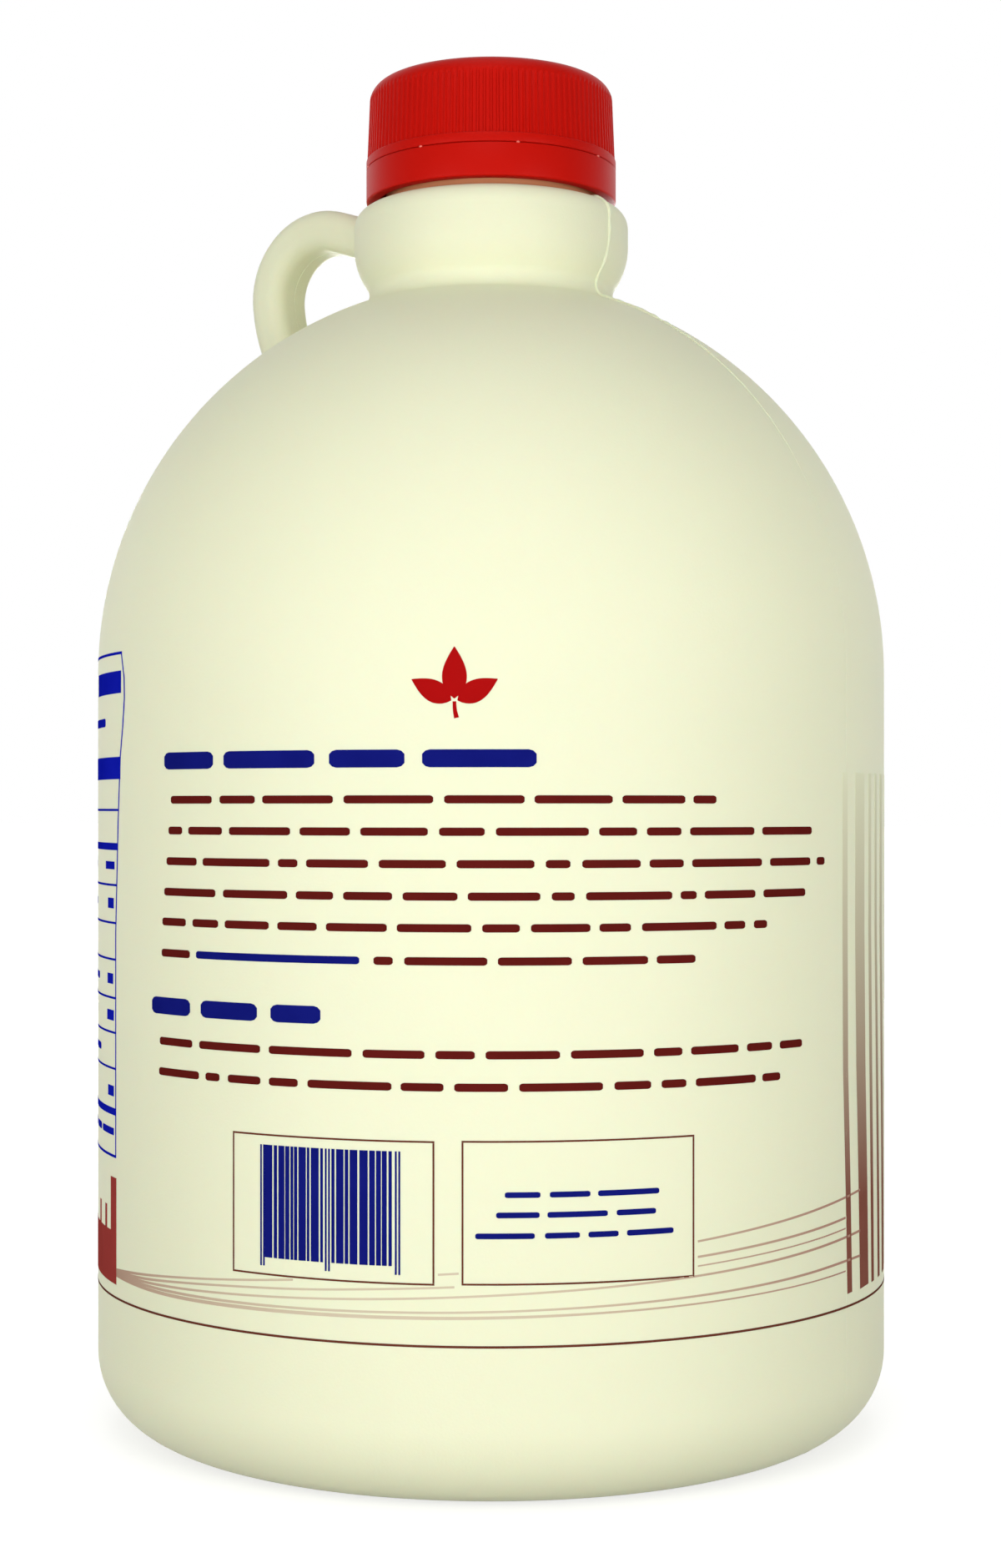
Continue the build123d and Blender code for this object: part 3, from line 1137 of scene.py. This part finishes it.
leaf_red_ink = ink("leaf_red_screen_ink", ((0.340, 0.004, 0.004), (0.410, 0.006, 0.006)), (0.34, 0.42))
sprig_foot = (-5.1, 113.9)
leaf_steps = 12
leaf_root = 0.5
leaf_tip = 0.02
leaf_swell = 0.8
leaf_fullness = 0.9
sprig = []
for lean, leaf_long, leaf_wide in ((0, 7.2, 3.5), (62, 6.3, 3.1), (-62, 6.3, 3.1)):
    way = Vector((math.sin(math.radians(lean)), math.cos(math.radians(lean))))
    leaf = []
    for step in range(leaf_steps + 1):
        share = step / leaf_steps
        spot = Vector(sprig_foot) + way * (leaf_root + leaf_long * share)
        swell = max(leaf_tip, math.sin(math.pi * share**leaf_swell)) ** leaf_fullness
        leaf.append((spot.x, spot.y, leaf_wide * swell))
    sprig.append(leaf)
sprig.append([(-5.1, 114.0, 0.5), (-5.05, 112.8, 0.55), (-4.8, 111.7, 0.7)])
print_ribbons(
    "print_sprig",
    sprig,
    Step=0.4 * MM,
    Fade_Along=0.0,
    Fade_Centre=0.0,
    Fade_Up=1.0,
    Fade_Start=0.0,
    Fade_End=1.0 * MM,
    Faintest=1.0,
    Fullest=1.0,
    Material=leaf_red_ink,
)


# ---- stage ----
# Plain white floor and background, and a level camera at the height of the print. Three soft
# lamps stand close, in front and at either hand, others further off at the sides and behind, and
# two hang high up.

scene = bpy.context.scene
camera_turn = 33.0
camera_reach = 0.41897
camera_height = 0.0992


def from_jug(turn, reach, height):
    """A place at a turn from the front, in degrees to the right, and a reach from the jug's axis."""
    angle = math.radians(turn)
    return Vector((math.sin(angle) * reach, -math.cos(angle) * reach, height))


camera = bpy.data.objects.new("camera", bpy.data.cameras.new("camera"))
scene.collection.objects.link(camera)
camera.location = from_jug(camera_turn, camera_reach, camera_height)
camera.rotation_euler = (math.radians(90), 0, math.radians(camera_turn))
camera.data.lens = 58.86
camera.data.sensor_width = 36
camera.data.shift_x = 0.0060
camera.data.shift_y = 0.0153
camera.data.clip_start = 0.01
scene.camera = camera

lamps = {
    # turn from the front, reach, height, width, tall, watts
    "front_softbox": (camera_turn - 4, 0.50, 0.065, 0.25, 0.13, 0.57),
    "left_softbox": (camera_turn - 40, 0.52, 0.07, 0.25, 0.30, 1.12),
    "right_softbox": (camera_turn + 38, 0.52, 0.07, 0.25, 0.30, 1.17),
    "left_side_softbox": (camera_turn - 105, 0.9, 0.12, 0.50, 0.60, 0.65),
    "right_side_softbox": (camera_turn + 105, 0.9, 0.12, 0.50, 0.60, 0.7),
    "left_rim": (camera_turn - 135, 0.9, 0.20, 0.50, 0.60, 0.6),
    "right_rim": (camera_turn + 135, 0.9, 0.20, 0.50, 0.60, 0.6),
    "back_softbox": (camera_turn + 180, 0.9, 0.15, 0.60, 0.30, 4.2),
    "high_softbox": (camera_turn - 5, 0.80, 0.75, 0.50, 0.50, 1.62),
    "top_softbox": (camera_turn, 0.25, 1.3, 0.8, 0.8, 2.6),
}
for lamp_name, (turn, reach, height, width, tall, watts) in lamps.items():
    lamp_data = bpy.data.lights.new(lamp_name, "AREA")
    lamp_data.shape = "RECTANGLE"
    lamp_data.size = width
    lamp_data.size_y = tall
    lamp_data.energy = watts
    lamp = bpy.data.objects.new(lamp_name, lamp_data)
    scene.collection.objects.link(lamp)
    lamp.location = from_jug(turn, reach, height)
    to_jug = Vector((0, 0, camera_height)) - lamp.location
    lamp.rotation_euler = to_jug.to_track_quat("-Z", "Y").to_euler()
    lamp.visible_camera = False


def seen_directly(tree):
    """One where a ray comes from the camera, or by way of gloss or glass, else nothing."""
    path = put(tree, "ShaderNodeLightPath")
    clear = calc(tree, "MAXIMUM", path.outputs["Is Glossy Ray"], path.outputs["Is Transmission Ray"])
    return calc(tree, "MAXIMUM", path.outputs["Is Camera Ray"], clear)


world = bpy.data.worlds.new("white_room")
scene.world = world
world.use_nodes = True
tree = world.node_tree
# The backdrop is seen as white, but lights the jug only faintly.
room = put(tree, "ShaderNodeBackground", {"Color": (1, 1, 1, 1), "Strength": 0.15})
backdrop = put(tree, "ShaderNodeBackground", {"Color": (1, 1, 1, 1), "Strength": 1.0})
shown = put(tree, "ShaderNodeMixShader", (seen_directly(tree), room.outputs[0], backdrop.outputs[0]))
tree.links.new(shown.outputs[0], tree.nodes["World Output"].inputs["Surface"])

floor_mesh = bpy.data.meshes.new("floor")
floor_half = 12.0
floor_level = -0.05 * MM
floor_sides = ((-1, -1), (1, -1), (1, 1), (-1, 1))
floor_corners = [(x * floor_half, y * floor_half, floor_level) for x, y in floor_sides]
floor_mesh.from_pydata(floor_corners, [], [(0, 1, 2, 3)])
floor = bpy.data.objects.new("floor", floor_mesh)
scene.collection.objects.link(floor)
floor_paint = bpy.data.materials.new("floor_paint")
floor_paint.use_nodes = True
tree = floor_paint.node_tree
tree.nodes.remove(tree.nodes["Principled BSDF"])
matt = put(tree, "ShaderNodeBsdfDiffuse", {"Color": (0.55, 0.55, 0.55, 1)})
floor_spot = put(tree, "ShaderNodeTexCoord").outputs["Object"]
from_axis = put(tree, "ShaderNodeVectorMath", (floor_spot,), operation="LENGTH").outputs["Value"]
# The floor also glows, so that it is seen as white: least at the jug's foot, where its soft shadow
# stays, and most far away.
near_glow = ramp(tree, from_axis, 0.06, 0.11, 0.68, 0.82)
far_glow = ramp(tree, from_axis, 0.4, 1.5, 0.0, 0.18)
glow_strength = calc(tree, "MULTIPLY", seen_directly(tree), calc(tree, "ADD", near_glow, far_glow))
glow = put(tree, "ShaderNodeEmission", {"Color": (1, 1, 1, 1), "Strength": glow_strength})
lit = put(tree, "ShaderNodeAddShader", (matt.outputs[0], glow.outputs[0]))
tree.links.new(lit.outputs[0], tree.nodes["Material Output"].inputs["Surface"])
floor_mesh.materials.append(floor_paint)

scene.view_settings.view_transform = "Standard"
